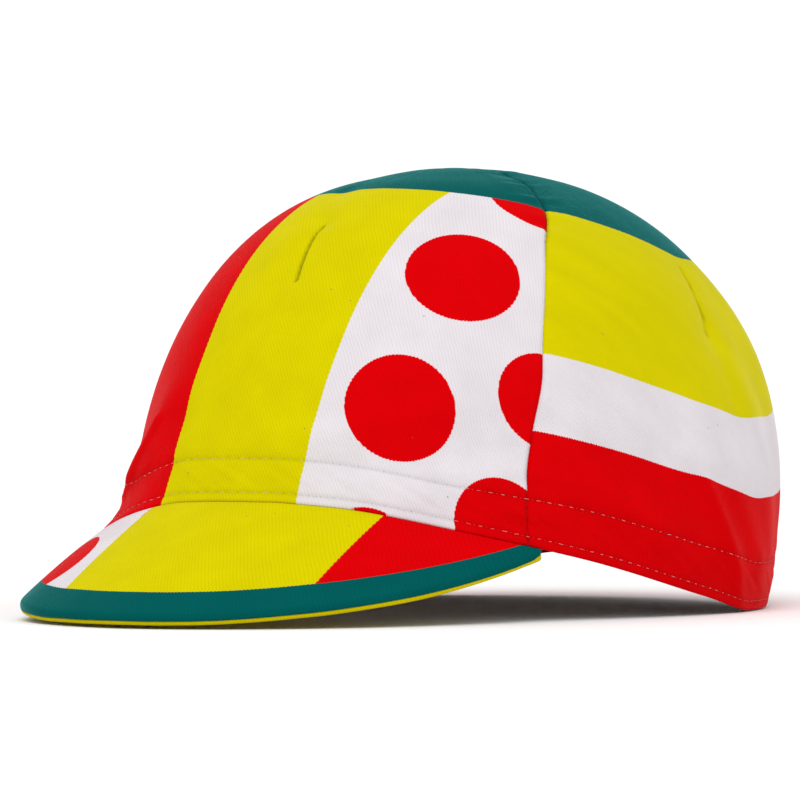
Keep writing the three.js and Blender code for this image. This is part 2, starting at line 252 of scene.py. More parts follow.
def up_at_height(around, above_hem):
    climb = np.clip(above_hem / (CROWN_HEIGHT - hem_height(around)), 0, 1)
    return np.arcsin(climb ** (form(around, SHOULDER) / 2)) / (pi / 2)


# The frame stands with the middle of its footprint at the origin
around_crown = np.radians(np.arange(0, 360, 5.0))
outline = crown_point(around_crown[:, None], np.linspace(0, 1, 60)[None])
frame_top = np.array(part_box("crown_back")[1]) / MM
SHIFT = np.array([frame_top[0] - outline[..., 0].max(), frame_top[1] - outline[..., 1].max(), 0])
size = np.ptp(outline.reshape(-1, 3), axis=0)
print("crown form spans", size.round(1), "mm, shifted by", SHIFT.round(2))

# %% [markdown]
# The cross seam runs from hem to hem over the top in a plane that leans forward as it falls.
# It is found for each height by looking up where the crown passes the seam's line, so the two
# halves always meet there, whatever the crown's form.


# %% Where the cross seam lies
SEAM_JOINS_TOP = 0.9


def seam_y(z):
    share = z / CROWN_HEIGHT
    return -SEAM_FORWARD * read_table(SEAM_LINE, share) - TOP_FORWARD * ramp(share, SEAM_JOINS_TOP, 1)


def seam_angle(ups, side, aside):
    """Angle of the seam at each share of the way up, on the right (-1) or left (1), moved aside
    by so many millimetres."""
    angles = np.radians(np.linspace(20, 90, 141))
    found = []
    for up in ups:
        point = crown_point(side * angles, up)
        behind = point[:, 1] - seam_y(point[:, 2]) - aside
        found.append(np.interp(0, behind, angles) if up < 1 else pi / 2)
    return side * np.array(found)


print("seam at the hem:", np.degrees(seam_angle([0.0], 1, 0)).round(1), "degrees from the front")

# %% [markdown]
# Real cloth shows more than the broad folds: it sinks into its seams and puckers beside them,
# two rows of stitches quilt the band, the darts pinch it, and the whole skin is a little
# uneven. Simulation would add random folds that this cap doesn't show, so the relief is drawn
# on by rules, each one a soft hill or groove along a line, in millimetres.

# %% Lines of fine relief
# Line as above, then width and depth in millimetres
CREASES = {
    "front dart sinks": (*DARTS["front"], 3.2, -0.5),
    "fold above the dart": (-19, 0.8, -4.5, 0.66, 5, -0.7),
    "left of the dart": (-10, 0.62, -6, 0.44, 5, 0.6),
    "right of the dart": (3, 0.62, 7, 0.46, 6, 0.45),
    "below the dart": (1, 0.47, 2, 0.4, 3.5, 0.5),
    "crease to the right front": (-26, 0.22, -36, 0.08, 2.4, 0.9),
    "drape over the left front": (16, 0.17, 44, 0.26, 5, 0.6),
    "drape under it": (24, 0.12, 47, 0.17, 4, -0.5),
    "pull from the seam": (57, 0.2, 80, 0.08, 4.5, 0.55),
    "hollow under the pull": (56, 0.12, 72, 0.04, 4, -0.4),
    "pull above it": (57, 0.32, 74, 0.22, 6, 0.5),
    "left corner ridge": (85, 0.235, 101, 0.012, 2.4, 1.0),
    "hollow beside the ridge": (93, 0.2, 107, 0.02, 4, -0.7),
    "left back fold": (118, 0.5, 122, 0.12, 7, -0.9),
    "left back rise": (108, 0.36, 112, 0.12, 6, 0.6),
    "left back dart sinks": (*DARTS["left back"], 3, -0.5),
    "fold under the back dart": (106, 0.45, 104, 0.3, 4, -0.5),
    "right back dart sinks": (*DARTS["right back"], 3, -0.5),
    "right corner ridge": (-92, 0.2, -111, 0.012, 2.4, 0.9),
    "hollow on the right": (-100, 0.2, -118, 0.05, 5, -0.8),
    "right pull": (-57, 0.2, -78, 0.09, 5, 0.5),
    "back ripple": (140, 0.04, 150, 0.22, 4, -0.6),
    "second back ripple": (178, 0.03, 182, 0.24, 4.5, -0.7),
    "third back ripple": (214, 0.03, 206, 0.22, 4, -0.6),
}
print("relief lines:", len(CREASES), "creases and", len(DARTS), "darts")


# %% Uneven waves
# Length in millimetres, and where the wave starts, in radians
WAVES = {
    "skin around": (34, 0.7),
    "skin up": (27, 2.3),
    "dart gathers": (3.4, 1.1),
    "seam puckers": (9, 0.4),
    "stitches": (6.3, 1.9),
    "quilting": (11, 0.2),
    "swell": (13, 0.9),
    "seam shade": (2.6, 1.3),
    "dart shade": (2.1, 0.6),
    "sweatband": (12, 0.8),
}


def waver(way, wave):
    """Uneven waves along a way in millimetres, about between -1 and 1, the same on every run."""
    length, start = WAVES[wave]
    turns = 2 * pi * way / length
    waves = np.sin(turns + start) + 0.6 * np.sin(1.7 * turns + 2.1 * start)
    return (waves + 0.4 * np.sin(0.53 * turns - start)) / 2


# %% Places on the crown in millimetres
HEM_RADIUS = 86
LOWER_ROW = 2.4
UPPER_ROW_FRONT = 10.8
UPPER_ROW_BACK = 12.4


def crown_measures(around, up):
    """Radius, height over the floor and height above the hem, in millimetres."""
    climb, _, spread = spread_at(around, up)
    hem = hem_height(around)
    height = mix(hem, CROWN_HEIGHT, climb)
    return spread * CROWN_WIDTH / 2, height, height - hem


def stitch_rows(around):
    """Heights above the hem of the lower and upper row of stitches."""
    upper = mix(UPPER_ROW_FRONT, UPPER_ROW_BACK, ramp(degrees_from_front(around), 35, 65))
    return np.full_like(upper, LOWER_ROW), upper


# %% Relief of darts, seam and band
# Hills and grooves beside a line: how far aside, width and height. As in the functions below,
# all are in millimetres.
DART_PROFILE = [(0, 0.5, -0.75), (1.6, 1.3, 0.22), (-1.8, 1.6, 0.16)]
SEAM_GROOVE = [(0, 0.7, -0.45)]
UPPER_ROW_PROFILE = [(0, 0.75, -0.26)]
LOWER_ROW_PROFILE = [(0, 0.7, -0.22)]
DART_LENGTH = 18
DART_GATHER = 0.05


def profile(away, hills):
    return sum(height * bump(away - aside, width) for aside, width, height in hills)


def dart_relief(around, up, radius):
    """Each dart is a sharp groove between two soft lips, and its thread gathers the cloth."""
    total = 0
    for dart in DARTS.values():
        share, away = line_distance(around, up, radius, dart)
        gathered = bump(away, 3) * ramp(np.abs(share - 0.5), 1.1, 0.4)
        waves = waver(share * DART_LENGTH, "dart gathers")
        total = total + profile(away, DART_PROFILE) + DART_GATHER * gathered * waves
    return total


def seam_relief(away, along, height, above):
    """The cloth sinks into the cross seam and puckers beside it, most of all near the top."""
    depth = 0.16 + 0.3 * ramp(height, 85, 105) + 0.22 * bump(height - 24, 20)
    puckers = depth * waver(along, "seam puckers") * bump(away, 6) * ramp(away, 0, 1.5)
    slope = mix(0.2, 0.5, ramp(height, 88, 100)) * bump(away, 4)
    in_band = mix(0.35, 1, ramp(above, BAND_HEIGHT, BAND_HEIGHT + 6))
    return puckers + (profile(away, SEAM_GROOVE) - slope) * in_band


def band_relief(around, above):
    """Two rows of stitches pull the cloth in, and it stands out between them and above them."""
    lower, upper = stitch_rows(around)
    girth = around * HEM_RADIUS
    rows = profile(above - upper, UPPER_ROW_PROFILE) + profile(above - lower, LOWER_ROW_PROFILE)
    pull = 0.6 + 0.4 * waver(girth, "stitches")
    quilted = 0.14 + 0.16 * waver(girth + 2 * above, "quilting")
    swollen = 0.22 * (0.6 + 0.5 * waver(girth, "swell"))
    between, over = bump(above - (upper + lower) / 2, 3.2), bump(above - upper - 2.2, 1.6)
    return rows * pull + quilted * between + swollen * over


# %% Relief of the whole crown
SETTLED_FRONT = 1.4
SETTLED_BACK = 0.9
SKIN_UNEVEN = 0.1


def settling(around, up, height, above):
    """Above the band the cloth lies inside the broad form, and all of it is a little uneven."""
    ahead = ramp(np.cos(around), -0.3, 0.3)
    front = SETTLED_FRONT * ahead * ramp(above, BAND_HEIGHT, BAND_HEIGHT + 12)
    back = SETTLED_BACK * (1 - ahead) * ramp(up, 0.35, 0.6)
    uneven = waver(around * HEM_RADIUS + 0.4 * height, "skin around")
    return SKIN_UNEVEN * uneven * waver(height + 20 * around, "skin up") - front - back


def relief(around, up, seam_away, seam_along):
    """How far the cloth stands out from the broad form, in millimetres."""
    radius, height, above = crown_measures(around, up)
    total = settling(around, up, height, above)
    for *line, width, depth in CREASES.values():
        total = total + depth * bump(line_distance(around, up, radius, line)[1], width)
    # All of this fades towards the hem and the top
    total = total * smooth(above / BAND_HEIGHT + 0.25) * ramp(up, 1, 0.88)
    total = total + dart_relief(around, up, radius)
    return total + seam_relief(seam_away, seam_along, height, above) + band_relief(around, above)


# %% Painted shade deep in seams and darts
# Height in millimetres, and how dark the painted shade in the cross seam is there
SEAM_SHADE = [(0, 0.45), (42, 0.4), (52, 0.12), (88, 0.12), (100, 0.75)]
SHADE_WIDTH = {"seam": 0.45, "dart": 0.42, "row": 0.5}
ROW_SHADE = 0.16


def deep_shade(around, up, seam_away, seam_along):
    """Painted shade where the cloth is drawn in: 1 in the bottom of a dart or a seam."""
    radius, height, above = crown_measures(around, up)
    total = read_table(SEAM_SHADE, height) * bump(seam_away, SHADE_WIDTH["seam"])
    total = total * (0.7 + 0.4 * waver(seam_along, "seam shade"))
    for dart in DARTS.values():
        share, away = line_distance(around, up, radius, dart)
        waves = waver(share * (DART_LENGTH - 1), "dart shade")
        total = total + bump(away, SHADE_WIDTH["dart"]) * (0.72 + 0.28 * waves)
    for row in stitch_rows(around):
        total = total + ROW_SHADE * bump(above - row, SHADE_WIDTH["row"])
    return np.clip(total, 0, 1)


# %% [markdown]
# The print belongs to the cloth, so it has to follow it over every fold. Each half therefore
# carries its own cloth coordinates, the way across and up in millimetres as if it lay flat,
# and the signed distance in millimetres to each printed edge. A material only compares such a
# distance with zero, which gives an edge as sharp as the render can show.

# %% Sizes of the print, in millimetres
STRIPE_HALF = 20
DOT_RADIUS = 13.5
DOT_STEP_AROUND = 33
DOT_STEP_UP = 40
DOT_START = (39, -18)
TOP_DISC_RADIUS = 53
TOP_DISC_BACK = 14
RED_FOOT = 29
WHITE_BAND = 50


def dot_field(way_around, way_up, start):
    """Distance inside the nearest dot of a pattern whose columns are staggered by half a step."""
    column = np.round((way_around - start[0]) / DOT_STEP_AROUND)
    best = np.full(way_around.shape, -1e3)
    for shift in (-1, 0, 1):
        c = column + shift
        first = start[1] + (c % 2) * DOT_STEP_UP / 2
        row = np.round((way_up - first) / DOT_STEP_UP)
        away = np.hypot(way_around - start[0] - c * DOT_STEP_AROUND, way_up - first - row * DOT_STEP_UP)
        best = np.maximum(best, DOT_RADIUS - away)
    return best


def top_field(points):
    return TOP_DISC_RADIUS - np.hypot(points[..., 0], (points[..., 1] - TOP_DISC_BACK))


# %% A closed cloth from a stack of rings
def new_object(name, data):
    made = bpy.data.objects.new(name, data)
    bpy.context.scene.collection.objects.link(made)
    return made


def ring_faces(count, columns, inner_steps, closed):
    """Four-cornered faces between a stack of rings, and for each of them 1 if it is inside. Where
    the rings don't close, the outside meets the inside at their first and last column."""
    index = np.arange(count * columns).reshape(count, columns)
    nxt = np.roll(index, -1, axis=0)
    last = columns if closed else columns - 1
    quads = np.stack([index, np.roll(index, -1, axis=1), np.roll(nxt, -1, axis=1), nxt], -1)
    faces = quads[:, :last].reshape(-1, 4).tolist()
    is_inside = np.repeat(np.isin(np.arange(count), inner_steps), last).astype(int).tolist()
    for column in () if closed else (0, columns - 1):
        for k in range(count // 2 - 1):
            faces.append(index[[k, k + 1, count - 2 - k, count - 1 - k], column].tolist())
            is_inside.append(0)
    return faces, is_inside


def cloth_mesh(name, rings, fields, inner_steps=(), closed=False):
    """rings: places x around x 3 in mm; fields: values at the same places; inner_steps: those
    steps from ring to ring whose faces are the inside of the cloth."""
    faces, is_inside = ring_faces(*rings.shape[:2], inner_steps, closed)
    mesh = bpy.data.meshes.new(name)
    points = ((rings + SHIFT) * MM).reshape(-1, 3)
    mesh.from_pydata(points.tolist(), [], faces)
    mesh.polygons.foreach_set("material_index", is_inside)
    for field, values in fields.items():
        attribute = mesh.attributes.new(field, "FLOAT", "POINT")
        attribute.data.foreach_set("value", values.reshape(-1).astype(np.float32))
    work = bmesh.new()
    work.from_mesh(mesh)
    bmesh.ops.remove_doubles(work, verts=work.verts, dist=1e-6)
    bmesh.ops.dissolve_degenerate(work, edges=work.edges, dist=1e-7)
    bmesh.ops.recalc_face_normals(work, faces=work.faces)
    open_edges = sum(1 for edge in work.edges if len(edge.link_faces) != 2)
    work.to_mesh(mesh)
    work.free()
    mesh.shade_smooth()
    print(f"{name}: {len(mesh.polygons)} faces, {open_edges} open edges")
    return new_object(name, mesh)


def rounded_rim(outer, inner, down, steps=5):
    """Points that close a cloth round its hem, from the inner row to the outer row."""
    middle = (outer + inner) / 2
    arm = (inner - outer) / 2
    reach = np.linalg.norm(arm, axis=-1, keepdims=True)
    turns = np.linspace(0, pi, steps + 2)[1:-1]
    return [middle + arm * cos(t) + down * reach * sin(t) for t in turns]


# %% [markdown]
# A crown half is a grid of columns from hem to top and rows from seam to seam. Its rows and
# columns crowd where the shape is fine: in the band, beside the seams and at the darts. The
# same grid, set in by the thickness of the cloth, is its inside, and a rounded rim closes it.

# %% Grid of a crown half
ROW_STEP = 1.3
COLUMN_STEP = 1.35
FINE_STEP = 0.36
FINE_REACH = 3.5
HALF_GIRTH = {"front": 96, "back": 172}
FINE_WAYS = [2, 7, 11.5]
FINE_COLUMNS = {"front": [-2], "back": [-96, 96]}
BAND_ROWS_TOP = 16
RIM_LIFT = CLOTH / 2
GRADING_STEPS = 6000
SEAM_SEARCH_START = 50
SEAM_SEARCHES = 6


def graded(low, high, places, coarse):
    """Places from low to high, a coarse step apart, and a fine step apart at the given places."""
    fine = np.linspace(low, high, GRADING_STEPS + 1)
    nearest = np.min([np.abs(fine - place) for place in places], axis=0)
    step = mix(FINE_STEP, coarse, ramp(nearest, FINE_REACH, 2 * FINE_REACH))
    count = np.concatenate([[0], np.cumsum((high - low) / GRADING_STEPS / step[1:])])
    return np.interp(np.linspace(0, count[-1], int(count[-1]) + 1), count, fine)


def seam_end(half, side, in_band, top_share):
    """Angle of each row's end at the seam. The share of the way up depends on the angle, so the
    two are found by turns."""
    aside = -SEAM_GAP / 2 if half == "front" else SEAM_GAP / 2
    angles = np.full(len(in_band), side * radians(SEAM_SEARCH_START))
    for _ in range(SEAM_SEARCHES):
        angles = seam_angle(mix(up_at_height(angles, in_band), 1, top_share), side, aside)
    return angles[:, None]


def crown_half(half):
    """Angle around and share of the way up at each place of the grid, and each row's height above
    the hem, which past the band is only a number that grows."""
    girth = HALF_GIRTH[half]
    share = graded(-girth, girth, [-girth, girth] + FINE_COLUMNS[half], COLUMN_STEP) / girth
    meridian = CROWN_HEIGHT * CLOTH_WAY
    ways = graded(RIM_LIFT, meridian, FINE_WAYS, ROW_STEP)
    in_band = np.minimum(ways, BAND_ROWS_TOP)
    top_share = np.clip((ways - BAND_ROWS_TOP) / (meridian - BAND_ROWS_TOP), 0, 1)
    left, right = (seam_end(half, side, in_band, top_share) for side in (1, -1))
    if half == "front":
        around = np.where(share > 0, left * share, -right * share)
    else:
        around = pi - np.where(share > 0, (pi - left) * share, (pi + right) * share)
    up = mix(up_at_height(around, in_band[:, None]), 1, top_share[:, None])
    return around, up, in_band + top_share * 1000


# %% Cloth coordinates of a crown half
FRONT_CENTRE = (0, -5, 15)
FRONT_TILT = 40
FRONT_RADIUS = 88


def summed(steps, axis):
    """Way from the first place on, from the steps between places."""
    ways = np.cumsum(steps, axis=axis)
    return np.concatenate([np.zeros_like(ways.take([0], axis)), ways], axis=axis)


def cloth_ways(points, centre):
    """Way around from a centre column and way up from the hem, in millimetres."""
    around = summed(np.linalg.norm(np.diff(points, axis=1), axis=-1), 1)
    up = summed(np.linalg.norm(np.diff(points, axis=0), axis=-1), 0)
    return around - around[:, centre:centre + 1], up


def laid_flat(points):
    """The front's cloth as if it lay flat: way to the left and up from its middle, in mm."""
    tilt = radians(FRONT_TILT)
    left, back, rise = np.moveaxis(unit(points - np.array(FRONT_CENTRE)), -1, 0)
    higher = rise * cos(tilt) + back * sin(tilt)
    ahead = rise * sin(tilt) - back * cos(tilt)
    angle = np.arccos(np.clip(ahead, -1, 1))
    stretch = FRONT_RADIUS * angle / np.maximum(np.sin(angle), 1e-6)
    return left * stretch, higher * stretch


# %% Outside and inside of a crown half
ALLOWANCE_CLOTH = 0.8
ALLOWANCE_WIDTH = 7
ALLOWANCE_START = 4
DEEPEST_OUTSIDE = 0.6
DEEPEST_IN_BAND = 0.2
OTHER_SIDE = 20
RIM_ROWS = 4
THREAD_LIFT = 0.02


def crown_rings(around, up):
    """Outside and inside of a crown half, its cloth coordinates, its broad form, the surface that
    thread lies on and its painted shade in seams and darts. Beside the seam the cloth is thicker
    by its allowance, and in the band it keeps off the sweatband."""
    base = crown_point(around, up)
    outward = crown_outward(around, up)
    centre = np.argmin(np.abs(np.abs(around[0]) - (0 if around[0, 0] < 0 else pi)))
    ways = cloth_ways(base, int(centre))
    from_left = summed(np.linalg.norm(np.diff(base, axis=1), axis=-1), 1)
    seam_away = np.minimum(from_left, from_left[:, -1:] - from_left)
    seam_along = ways[1][:, -1:] + OTHER_SIDE * np.sign(base[..., 0])
    past_band = ramp(ways[1] - BAND_HEIGHT, 0, ALLOWANCE_START)
    allowance = ALLOWANCE_CLOTH * ramp(seam_away, ALLOWANCE_WIDTH, ALLOWANCE_WIDTH - 1) * past_band
    deepest = mix(-DEEPEST_IN_BAND, -FOLD_DEPTH, past_band)
    stand_out = np.maximum(relief(around, up, seam_away, seam_along), deepest - DEEPEST_OUTSIDE)
    outer = base + outward * stand_out[..., None]
    inner = base + outward * (np.maximum(stand_out, deepest) - CLOTH - allowance)[..., None]
    rim = np.array(rounded_rim(outer[0], inner[0], -unit(base[1] - base[0]), RIM_ROWS))
    half = RIM_ROWS // 2
    rings = np.concatenate([rim[half:], outer, inner[::-1], rim[:half]])
    shade = deep_shade(around, up, seam_away, seam_along)
    return rings, ways, base, outer + outward * THREAD_LIFT, shade


def stack_field(values):
    """A field on the outside of a cloth, repeated on its inside and its rim."""
    foot = np.repeat(values[:1], RIM_ROWS // 2, axis=0)
    return np.concatenate([foot, values, values[::-1], foot])


# %% Both crown halves
def at_height(values, heights, row):
    """Values of the grid where a row of stitches crosses each column."""
    return np.array([np.interp(row[c], heights, values[:, c]) for c in range(len(row))])


crown_pieces = {}
stitch_lines = []
for half in ("front", "back"):
    around, up, heights = crown_half(half)
    rings, (way_around, way_up), base, thread, shade = crown_rings(around, up)
    if half == "front":
        way_around, way_up = laid_flat(base)
        fields = {"left_side": way_around, "dots": dot_field(way_around, way_up, DOT_START),
                  "stripe": STRIPE_HALF - np.abs(way_around)}
    else:
        way_around = -way_around
        fields = {"above_foot": way_up - RED_FOOT, "above_white": way_up - WHITE_BAND}
    # The painted shade of seams, darts and stitch rows goes on the cloth as a field
    fields.update(top_disc=top_field(base), cloth_x=way_around, cloth_y=way_up, deep=shade)
    stacked = {field: stack_field(values) for field, values in fields.items()}
    inside = np.arange(RIM_ROWS // 2 + len(base), RIM_ROWS // 2 + 2 * len(base) - 1)
    crown_pieces[half] = cloth_mesh(f"crown_{half}_cloth", rings, stacked, inside)
    for row in stitch_rows(around[0]):
        line = np.stack([at_height(thread[..., axis], heights, row) for axis in range(3)], -1)
        under = {field: at_height(values, heights, row) for field, values in fields.items()}
        stitch_lines.append((half, line, under))

# %% [markdown]
# The peak is two cloths sewn face to face and turned, with a stiffener between them that no
# one sees. Its outline is long in the middle and runs out into the hem at both corners. Each
# cloth is a stack of sections, one for each place across, so that its front edge can be rolled
# over and its corners can thin out.

# %% Sizes of the peak, in millimetres
PEAK_LENGTH = 52.8
PEAK_BOW = 0.8
PEAK_CORNER = 1.5
PEAK_ROOT = 6
PEAK_TOP_CLOTH = 1.7
PEAK_UNDER_CLOTH = 1.5
SEWN_GAP = 0.3
ROOT_GAP = 0.08
PEAK_THICKNESS = PEAK_TOP_CLOTH + SEWN_GAP + PEAK_UNDER_CLOTH
EDGE_ROLL = 1.3
BORDER_WIDTH = 9
SPLIT_RIGHT = -24
BLOCK_LEFT = 40
PANEL_DOT = (-44, 22)

# Degrees from the front where both corners lie, and which way the peak points there
PEAK_SPAN = 54
PEAK_SPREAD = 10.5

# Share of the way to the right (-1) or left corner, degrees that the peak falls there
PEAK_FALL = [(-1, 31), (-0.75, 31), (-0.5, 30), (-0.25, 31), (0, 30.1), (0.25, 32),
             (0.5, 33.3), (0.75, 32.3), (1, 31.7)]

# Roundness of the outline, and the share of its thickness that the peak keeps at its corners
PEAK_OUTLINE = (1.78, 0.83)
PEAK_CORNER_THINNING = 0.65
PEAK_CORNER_START = 0.7

# The way to the outline is shorter than the way straight out, by this share
EDGE_SLANT = 0.92


# %% The peak as a function of place across and out
def hem_outward(around):
    level = np.zeros_like(around)
    run = crown_point(around + ANGLE_STEP, level) - crown_point(around - ANGLE_STEP, level)
    return unit(np.stack([run[..., 1], -run[..., 0], level], -1))


def peak_length(across):
    fullness = np.maximum(1 - np.abs(across) ** PEAK_OUTLINE[0], 0)
    return mix(PEAK_CORNER, PEAK_LENGTH, fullness ** PEAK_OUTLINE[1])


def peak_thinning(across):
    return mix(1, PEAK_CORNER_THINNING, ramp(np.abs(across), PEAK_CORNER_START, 1))


def peak_point(across, out, depth):
    """Share across, distance out from the hem and depth below the upper face."""
    around = radians(PEAK_SPAN) * across
    heading = radians(PEAK_SPREAD) * across
    length = peak_length(across)
    level = np.stack([np.sin(heading), -np.cos(heading), 0 * heading], -1)
    fall = np.radians(read_table(PEAK_FALL, across))[..., None]
    run = level * np.cos(fall) - UPRIGHT * np.sin(fall)
    face = level * np.sin(fall) + UPRIGHT * np.cos(fall)
    share = np.clip(out / length, 0, 1)
    bow = PEAK_BOW * 4 * share * (1 - share) * length / PEAK_LENGTH
    thickness = unit(mix(UPRIGHT, face, ramp(out, 0, PEAK_ROOT)[..., None]))
    point = crown_point(around, np.zeros_like(around)) - UPRIGHT * ROOT_GAP
    inside = np.minimum(out, 0)[..., None] * hem_outward(around)
    outside = np.maximum(out, 0)[..., None] * run + bow[..., None] * face
    return point + inside + outside - thickness * depth[..., None]


# %% The two cloths of the peak
PEAK_COLUMNS = 181
PEAK_ROWS = 46
ROLL_ROWS = 6


def peak_cloth(name, upper, lower, rolled_up=False):
    """A cloth between two depths. Its outer edge rolls down, or that of the under cloth up."""
    across = np.sin(np.linspace(-0.5, 0.5, PEAK_COLUMNS) * pi)
    length = peak_length(across)
    roll = np.minimum(EDGE_ROLL, 0.4 * length)
    rows = np.linspace(0, 1, PEAK_ROWS)[:, None] ** 0.9
    flat = np.concatenate([np.full((1, PEAK_COLUMNS), -CLOTH), rows * (length - roll)])
    turn = np.linspace(0, pi / 2, ROLL_ROWS + 1)[1:, None]
    round_out = length - roll + roll * np.sin(turn)
    round_down = upper + roll * (1 - np.cos(turn)) * (lower - upper) / EDGE_ROLL
    if rolled_up:
        round_out, round_down = round_out[::-1], (lower + upper - round_down)[::-1]
    outs = np.concatenate([flat, round_out, flat[::-1]])
    depths = np.concatenate([np.full_like(flat, upper), round_down, np.full_like(flat, lower)])
    rings = peak_point(np.broadcast_to(across, outs.shape), outs, depths * peak_thinning(across))
    left = rings[..., 0]
    panel = SPLIT_RIGHT - left
    fields = {
        "border": BORDER_WIDTH - (length - outs) * EDGE_SLANT,
        "right_panel": panel,
        "panel_dots": np.minimum(dot_field(left, outs, PANEL_DOT), panel),
        "left_block": left - BLOCK_LEFT,
        "cloth_x": left,
        "cloth_y": outs,
    }
    return cloth_mesh(name, rings, fields)


peak_top = peak_cloth("peak_top_cloth", 0.0, PEAK_TOP_CLOTH)
peak_under = peak_cloth("peak_under_cloth", PEAK_TOP_CLOTH + SEWN_GAP, PEAK_THICKNESS, rolled_up=True)

# %% [markdown]
# The sweatband is a plain cotton tape, sewn inside the opening. It follows the inside of the
# crown, drops behind the peak to hide its root, and is a closed loop.

# %% The sweatband
TAPE_CLOTH = 1.2
TAPE_LIFT = 1.5
TAPE_TURN = 12
TAPE_RADIUS = 84
TAPE_COLUMNS = 400
TAPE_ROWS = 14
RIPPLE = 0.22
RIPPLE_START = 6
LEAST_UP = 0.012


def sweatband():
    """It starts a little over the hem, and behind the peak lower than the root of both cloths."""
    around = np.radians(np.linspace(0, 360, TAPE_COLUMNS, endpoint=False))
    degrees = degrees_from_front(around)
    root = SEWN_GAP + PEAK_THICKNESS * peak_thinning(np.clip(degrees / PEAK_SPAN, 0, 1))
    foot = mix(-root, TAPE_LIFT, ramp(degrees, PEAK_SPAN - TAPE_TURN, PEAK_SPAN))
    heights = mix(foot, BAND_HEIGHT, np.linspace(0, 1, TAPE_ROWS)[:, None])
    up = up_at_height(around, np.maximum(heights, 0))
    base = crown_point(around, up)
    base[..., 2] += np.minimum(heights, 0)
    outward = crown_outward(around, np.maximum(up, LEAST_UP))
    way = around * TAPE_RADIUS
    ripple = waver(way + 0.5 * heights, "sweatband") * ramp(heights, 0, RIPPLE_START)
    depth = CLOTH + SEWN_GAP + RIPPLE * np.maximum(ripple, 0)[..., None]
    outer, inner = base - outward * depth, base - outward * (depth + TAPE_CLOTH)
    lower_rim = rounded_rim(outer[0], inner[0], -UPRIGHT, 3)
    upper_rim = rounded_rim(outer[-1], inner[-1], UPRIGHT, 3)
    rings = np.concatenate([outer, upper_rim[::-1], inner[::-1], lower_rim])
    fields = {"cloth_x": np.broadcast_to(way, rings.shape[:2]), "cloth_y": rings[..., 2]}
    return cloth_mesh("sweatband_tape", rings, fields, closed=True)


band = sweatband()

# %% [markdown]
# Two rows of lockstitch run round the crown, through the band. What shows of each stitch is a
# short bead of thread, so Geometry Nodes put one small bead at every step along a line that
# was taken off the finished cloth. That keeps the pitch even and each stitch on its fold.

# %% Helpers that add nodes
def connect(tree, node, inputs):
    """An input is a value, another node's output, or a node, whose first output it takes."""
    for socket, value in inputs.items():
        if isinstance(value, bpy.types.Node):
            value = value.outputs[0]
        if isinstance(value, bpy.types.NodeSocket):
            tree.links.new(value, node.inputs[socket])
        else:
            node.inputs[socket].default_value = value


def add_node(tree, kind, inputs=None, **settings):
    """One node with its settings and links."""
    node = tree.nodes.new(kind)
    for setting, value in settings.items():
        setattr(node, setting, value)
    connect(tree, node, inputs or {})
    return node


def new_material(name):
    material = bpy.data.materials.new(name)
    material.use_nodes = True
    return material, material.node_tree, material.node_tree.nodes["Principled BSDF"]


# %% Colours
def colour(hex_code):
    """An sRGB hex colour as linear RGBA."""
    parts = [int(hex_code[i:i + 2], 16) / 255 for i in (1, 3, 5)]
    return [p / 12.92 if p <= 0.04045 else ((p + 0.055) / 1.055) ** 2.4 for p in parts] + [1.0]


YELLOW = "#cec300"
RED = "#d00005"
GREEN = "#005553"
WHITE = "#dad4d8"
UNDER_YELLOW = "#cdbc00"
SPECK_BROWN = "#6b5b54"
THREAD_WHITE = "#dcc6c0"
THREAD_SHADE = "#c9b9b2"
# Painted shade in the needle holes
HOLE_SHADE_PALE = "#6a4f4c"
HOLE_SHADE = "#4a3836"
PAPER = "#f4f4f4"

# %% [markdown]
# The cloth is cotton twill: a diagonal rib shows because each weft passes under steps of the
# warp. The ribs are as far apart as on the real cap, and their single yarns are too fine to
# show. The print lies on top of the ribs, so its edges are stepped by them, and a few slubs and
# pinholes stay bare. A sheen layer stands for the fuzz of short fibres, which lightens the
# cloth where it turns away from the eye.

# %% Ribs and print of the twill
SHARE, UNDER, OVER, MIXED = 0, 6, 7, 2
RIB_PITCH = 0.78
PRINT_STEP = 0.4
PRINT_SOFTNESS = 0.12
# This and the scales below are in waves or cells for each millimetre of cloth
SWAY_SCALE = 0.14


def twill_ribs(node, place, degrees):
    """Height of the ribs from 0 to 0.5: a wave across their own direction, a little uneven."""
    turned = node("ShaderNodeVectorRotate", {"Vector": place, "Angle": radians(degrees)},
                  rotation_type="Z_AXIS")
    sway = node("ShaderNodeTexNoise", {"Vector": place, "Scale": SWAY_SCALE, "Detail": 1.0})
    count = node("ShaderNodeSeparateXYZ", {0: turned})
    count = node("ShaderNodeMath", {0: count, 1: 1 / RIB_PITCH, 2: sway}, operation="MULTIPLY_ADD")
    return node("ShaderNodeMath", {0: count, 1: 0.5}, operation="PINGPONG")


def printed_on(node, painted, prints, rough, dyed):
    """The ground with one colour after another inside its distance; the ribs step the edges."""
    step = node("ShaderNodeMath", {0: rough, 1: PRINT_STEP, 2: -0.75 * PRINT_STEP},
                operation="MULTIPLY_ADD")
    for field, ink in prints:
        inside = node("ShaderNodeAttribute", attribute_name=field).outputs["Fac"]
        inside = node("ShaderNodeMath", {0: inside, 1: step}, operation="ADD")
        inside = node("ShaderNodeMath", {0: inside, 1: 1 / PRINT_SOFTNESS, 2: 0.5},
                      operation="MULTIPLY_ADD", use_clamp=True)
        painted = node("ShaderNodeMix", {SHARE: inside, UNDER: painted, OVER: dyed(ink)},
                       data_type="RGBA").outputs[MIXED]
    return painted


# %% Painted shade, uneven dye and specks of the twill
MOTTLE_SCALE = 0.09
SPECK_SCALE = 0.16
SPECK_RADIUS = 0.045
SPECKS_LEFT_OUT = 0.72
SPECK_STRENGTH = 0.45
